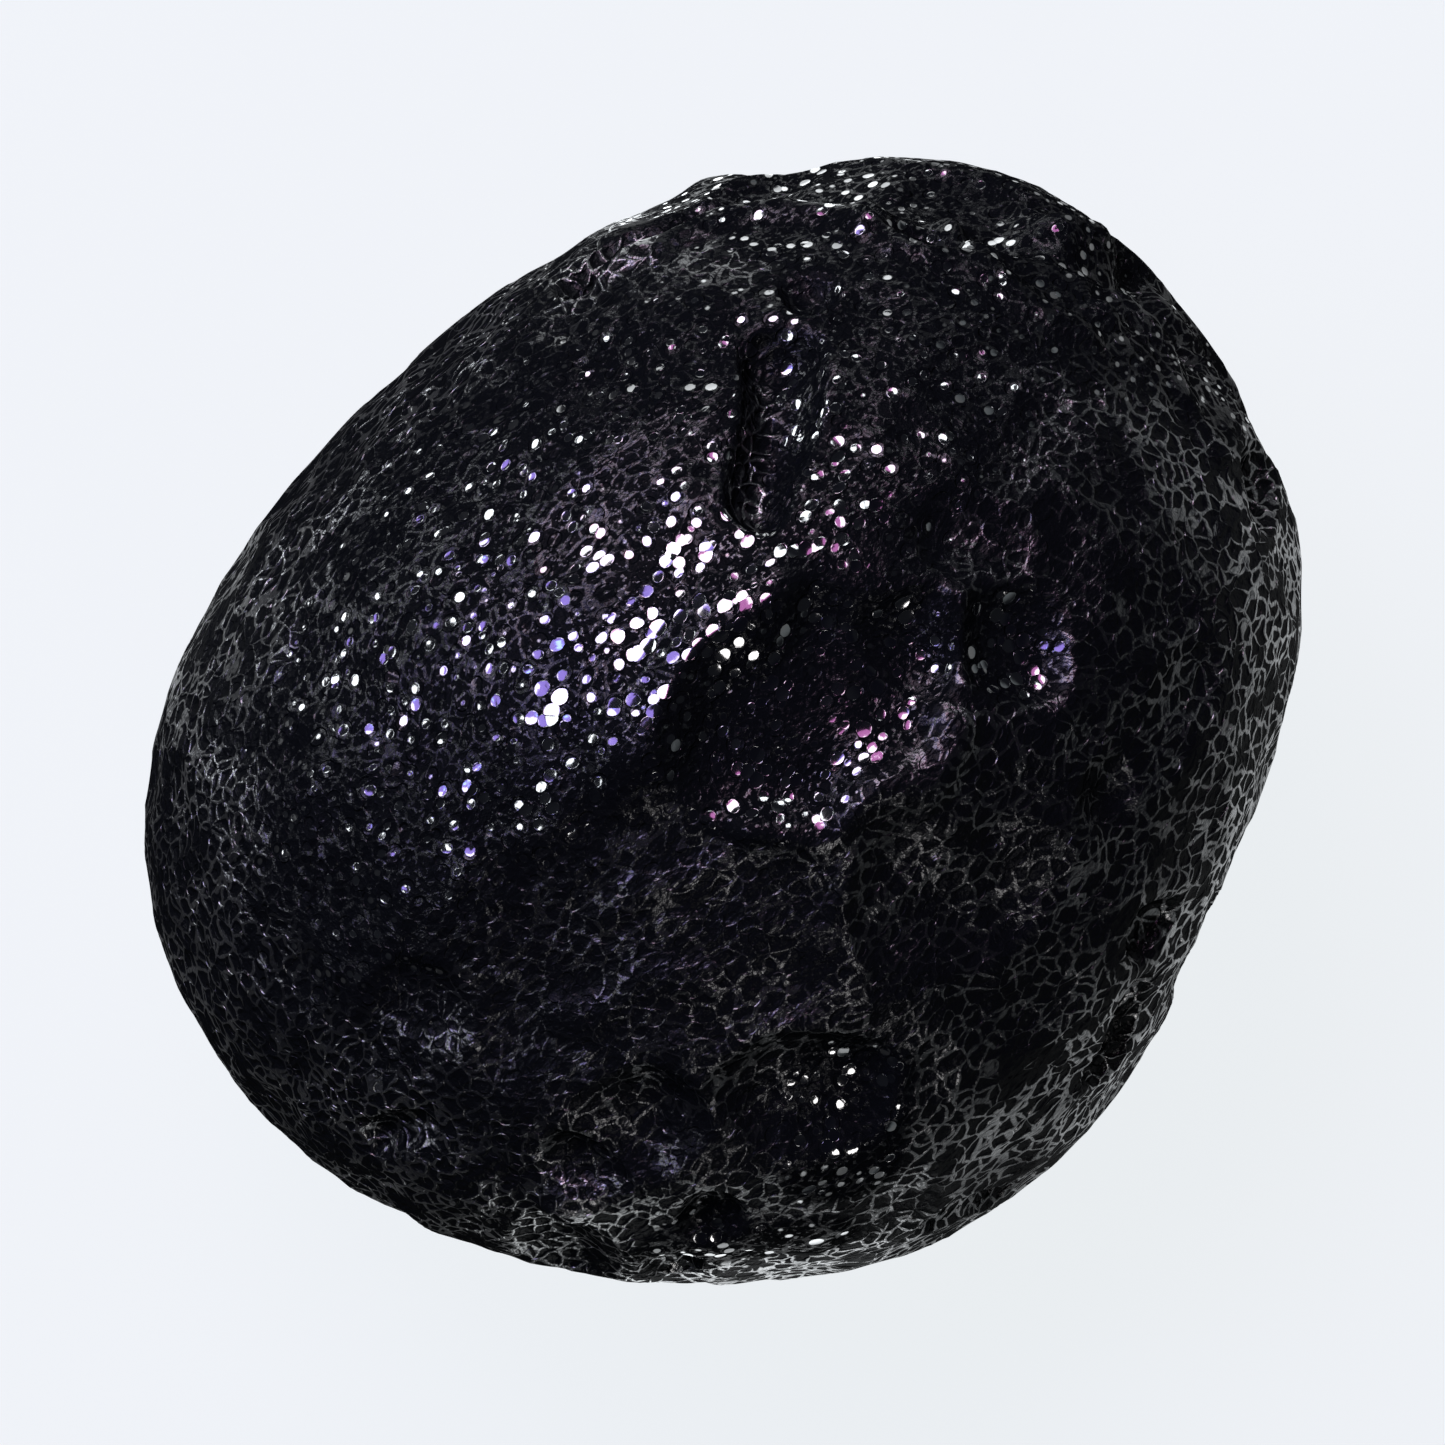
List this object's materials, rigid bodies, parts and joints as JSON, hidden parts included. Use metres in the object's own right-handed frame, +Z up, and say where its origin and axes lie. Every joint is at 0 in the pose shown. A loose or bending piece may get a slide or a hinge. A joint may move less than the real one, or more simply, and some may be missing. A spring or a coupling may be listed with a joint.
{
  "type": "tektite",
  "caption": "Egg-shaped lump of black natural glass, etched all over with pits, scallops and grooves, resting on its broad side.",
  "frame": {"origin": "on the ground, under the middle of the stone as it rests on its broad side", "axes": "+X along the stone's length to its knobby end, +Z up, +Y across it towards the side of the smooth dome"},
  "size_m": [0.055, 0.046, 0.039],
  "materials": {
    "black_glass": "gloss"
  },
  "bodies": {
    "root": {"tektite": "black_glass"}
  },
  "joints": []
}
